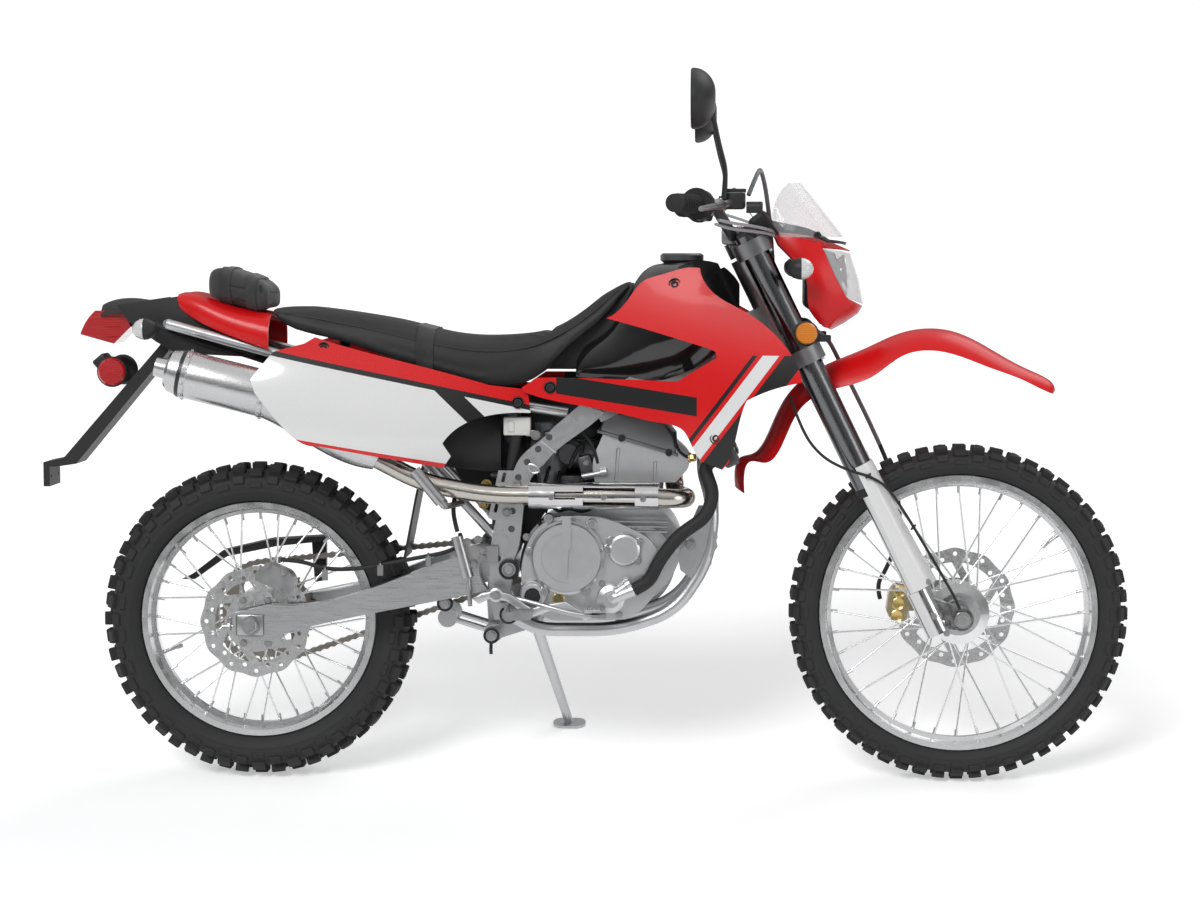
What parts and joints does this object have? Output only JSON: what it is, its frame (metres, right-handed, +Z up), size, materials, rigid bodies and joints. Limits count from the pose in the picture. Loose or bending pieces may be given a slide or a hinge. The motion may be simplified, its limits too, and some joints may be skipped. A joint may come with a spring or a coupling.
{
  "type": "dual sport motorcycle",
  "caption": "Single-cylinder dual sport motorcycle leaning on its side stand, with spoked wheels, long-travel fork, high exhaust, flat seat, small screen and tail bag.",
  "frame": {"origin": "middle of the bounding box on the ground, between the two wheels and the foot of the side stand", "axes": "+X forward along the ground, +Y to the machine's left, +Z up; the machine leans 10 degrees to its left"},
  "size_m": [2.2128, 0.837, 1.462],
  "materials": {
    "frame_metal": "satin, brushed",
    "frame_black": "satin black",
    "subframe_grey": "satin light grey",
    "engine_metal": "cast, matte",
    "cover_metal": "bright, fine cast",
    "black_plastic": "matte",
    "black_rubber": "matte",
    "radiator_black": "matte",
    "pipe_steel": "polished",
    "silencer_steel": "brushed",
    "tank_black": "gloss",
    "cap_metal": "satin",
    "seat_cover": "matte grained vinyl",
    "red_plastic": "gloss",
    "panel_white": "gloss",
    "lamp_red": "gloss, translucent",
    "signal_lens": "gloss, clear",
    "screen_clear": "clear",
    "bag_cloth": "woven",
    "spring_metal": "satin",
    "chain_steel": "oiled",
    "clamp_dark": "satin dark grey",
    "fork_dark": "glossy dark grey",
    "caliper_metal": "satin",
    "slider_steel": "polished",
    "rim_metal": "satin",
    "disc_steel": "ground",
    "tyre_rubber": "matte"
  },
  "bodies": {
    "chassis": {"frame_spars": "frame_metal", "frame_cradle": "frame_metal", "subframe": "subframe_grey", "engine_case": "engine_metal", "engine_cylinder": "engine_metal", "engine_covers": "cover_metal", "carburettor": "engine_metal", "airbox": "black_plastic", "radiators": "radiator_black", "coolant_hose": "black_rubber", "exhaust_pipe": "pipe_steel", "heat_shield": "pipe_steel", "silencer": "silencer_steel", "fuel_tank": "tank_black", "fuel_cap": "cap_metal", "seat": "seat_cover", "shrouds": "red_plastic", "side_panels": "panel_white", "rear_cowl": "red_plastic", "rear_fender": "black_plastic", "tail_lamp": "lamp_red", "rear_signals": "signal_lens", "plate_bracket": "frame_black", "tool_bag": "bag_cloth", "swingarm": "frame_metal", "chassis_shafts": "pipe_steel", "shock_absorber": "spring_metal", "linkage": "frame_metal", "chain": "chain_steel", "chain_guard": "black_plastic", "rear_caliper": "subframe_grey", "footrests": "pipe_steel", "foot_controls": "pipe_steel", "stand_bracket": "frame_black"},
    "fork": {"triple_clamps": "clamp_dark", "fork_tubes": "fork_dark", "fork_sliders": "slider_steel", "front_axle": "pipe_steel", "fork_guards": "panel_white", "front_caliper": "caliper_metal", "handlebar": "cap_metal", "grips": "black_rubber", "levers": "black_plastic", "mirrors": "black_plastic", "headlight_cowl": "red_plastic", "headlight": "signal_lens", "windscreen": "screen_clear", "front_fender": "red_plastic", "front_signals": "signal_lens", "brake_hose": "black_rubber"},
    "front_wheel": {"wheel_front": "rim_metal", "tyre_front": "tyre_rubber", "disc_front": "disc_steel"},
    "rear_wheel": {"wheel_rear": "rim_metal", "tyre_rear": "tyre_rubber", "disc_rear": "disc_steel", "sprocket_rear": "chain_steel"},
    "side_stand_leg": {"side_stand": "frame_black"}
  },
  "joints": [
    {"name": "steering", "type": "hinge", "parent": "chassis", "child": "fork", "pos_m": [0.67643, -0.15936, 0.33998], "axis": [-0.4379, 0.1561, 0.8854], "range_deg": [-40, 40]},
    {"name": "front_wheel_spin", "type": "hinge", "parent": "fork", "child": "front_wheel", "pos_m": [0.76343, -0.15936, 0.33992], "axis": [-0.0001, 0.9848, -0.1736], "continuous": true},
    {"name": "rear_wheel_spin", "type": "hinge", "parent": "chassis", "child": "rear_wheel", "pos_m": [-0.66658, -0.16301, 0.32008], "axis": [-0.0001, 0.9848, -0.1736], "continuous": true},
    {"name": "side_stand_pivot", "type": "hinge", "parent": "chassis", "child": "side_stand_leg", "pos_m": [-0.11061, -0.0329, 0.27447], "axis": [-0.2352, 0.9715, -0.0294], "range_deg": [0, 95]}
  ]
}
